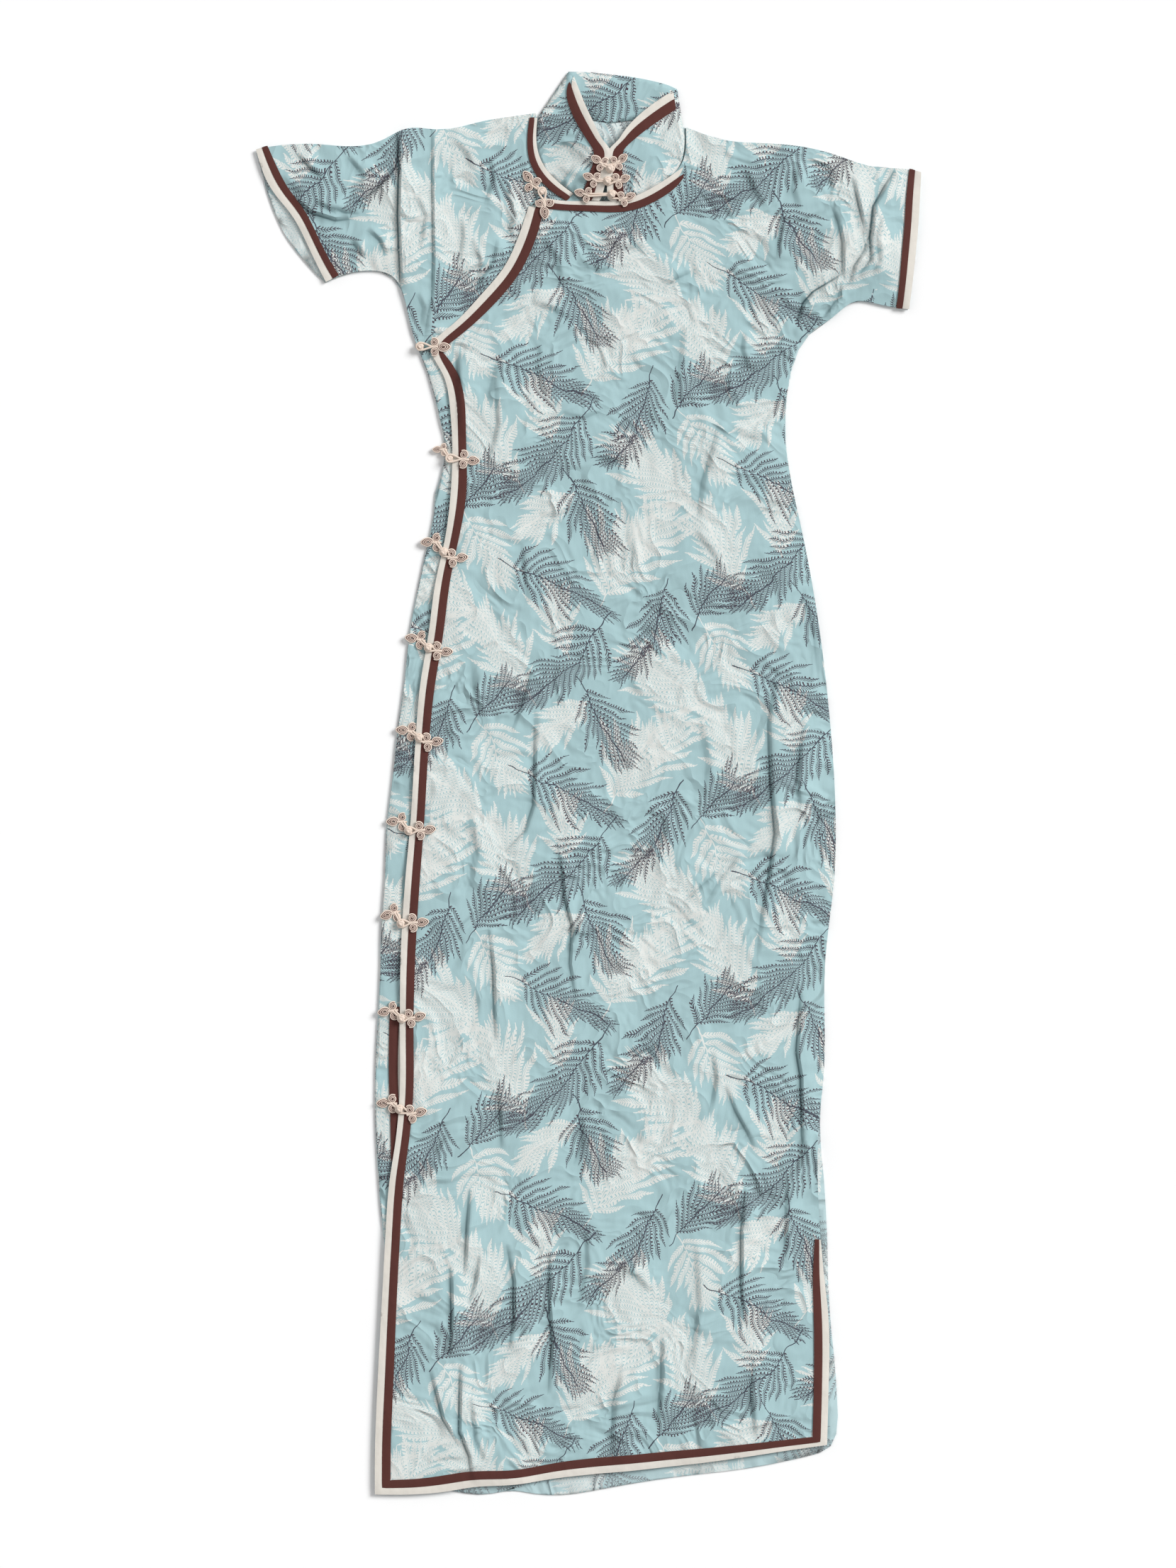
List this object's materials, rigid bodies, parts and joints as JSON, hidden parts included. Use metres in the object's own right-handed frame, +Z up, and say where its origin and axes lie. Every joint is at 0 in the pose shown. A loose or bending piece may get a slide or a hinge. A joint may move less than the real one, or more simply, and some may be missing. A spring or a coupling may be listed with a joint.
{
  "type": "cheongsam dress",
  "caption": "Short-sleeved cheongsam dress laid flat on its back, with a stand collar, a diagonal side opening, two-colour bias trims and coiled frog fastenings.",
  "frame": {"origin": "under the middle of the whole garment, on the surface that it lies on", "axes": "+Y from the hem towards the collar, +X towards the wearer's left sleeve, +Z up, out of the dress's front"},
  "size_m": [0.609, 1.3065, 0.0161],
  "materials": {
    "printed_cloth": "matt plain-weave crepe printed with fern fronds",
    "cream_binding": "cream bias-cut plain weave",
    "brown_band": "dark brown bias-cut plain weave",
    "frog_cord": "rolled bias strip, cream with a thin brown line"
  },
  "bodies": {
    "root": {"back_panel": "printed_cloth", "front_panel": "printed_cloth", "front_overlap": "printed_cloth", "collar": "printed_cloth", "front_edge_binding": "cream_binding", "cuff_left_binding": "cream_binding", "cuff_right_binding": "cream_binding", "neck_left_binding": "cream_binding", "neck_front_binding": "cream_binding", "back_slit_binding": "cream_binding", "collar_left_binding": "cream_binding", "collar_right_binding": "cream_binding", "front_edge_band": "brown_band", "cuff_left_band": "brown_band", "cuff_right_band": "brown_band", "neck_left_band": "brown_band", "neck_front_band": "brown_band", "back_slit_band": "brown_band", "collar_left_band": "brown_band", "collar_right_band": "brown_band", "frog_neck_knob": "frog_cord", "frog_neck_loop": "frog_cord", "frog_collar_top_knob": "frog_cord", "frog_collar_top_loop": "frog_cord", "frog_collar_middle_knob": "frog_cord", "frog_collar_middle_loop": "frog_cord", "frog_collar_foot_knob": "frog_cord", "frog_collar_foot_loop": "frog_cord", "frog_side_1_knob": "frog_cord", "frog_side_1_loop": "frog_cord", "frog_side_2_knob": "frog_cord", "frog_side_2_loop": "frog_cord", "frog_side_3_knob": "frog_cord", "frog_side_3_loop": "frog_cord", "frog_side_4_knob": "frog_cord", "frog_side_4_loop": "frog_cord", "frog_side_5_knob": "frog_cord", "frog_side_5_loop": "frog_cord", "frog_side_6_knob": "frog_cord", "frog_side_6_loop": "frog_cord", "frog_side_7_knob": "frog_cord", "frog_side_7_loop": "frog_cord", "frog_side_8_knob": "frog_cord", "frog_side_8_loop": "frog_cord", "frog_side_9_knob": "frog_cord", "frog_side_9_loop": "frog_cord"}
  },
  "joints": []
}
